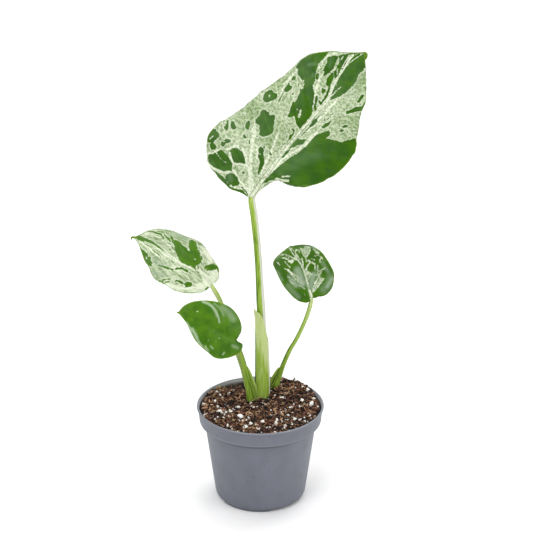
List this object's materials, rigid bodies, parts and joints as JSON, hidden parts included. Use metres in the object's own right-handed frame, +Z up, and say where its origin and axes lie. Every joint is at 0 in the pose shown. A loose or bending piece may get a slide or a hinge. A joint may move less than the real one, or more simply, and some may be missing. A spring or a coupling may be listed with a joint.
{
  "type": "potted monstera plant",
  "caption": "Young variegated monstera standing in a round tapered nursery pot filled with potting mix, with heart-shaped leaves on sheathed stalks.",
  "frame": {"origin": "on the pot's axis, in the plane that the pot stands on, at the middle of the flat pad under its floor", "axes": "+Z up along the pot's axis; the plant is seen from -Y, with the large blade's tip towards +X and the two left leaves towards -X"},
  "size_m": [0.215, 0.1296, 0.418],
  "materials": {
    "pot_plastic": "satin",
    "potting_mix": "matte",
    "stalk_skin": "satin",
    "variegated_leaf": "satin",
    "green_leaf": "satin"
  },
  "bodies": {
    "root": {"nursery_pot": "pot_plastic", "potting_mix": "potting_mix", "petiole_large": "stalk_skin", "petiole_upper_left": "stalk_skin", "petiole_lower_left": "stalk_skin", "petiole_right": "stalk_skin", "leaf_large": "variegated_leaf", "leaf_upper_left": "variegated_leaf", "leaf_lower_left": "green_leaf", "leaf_right": "variegated_leaf"}
  },
  "joints": []
}
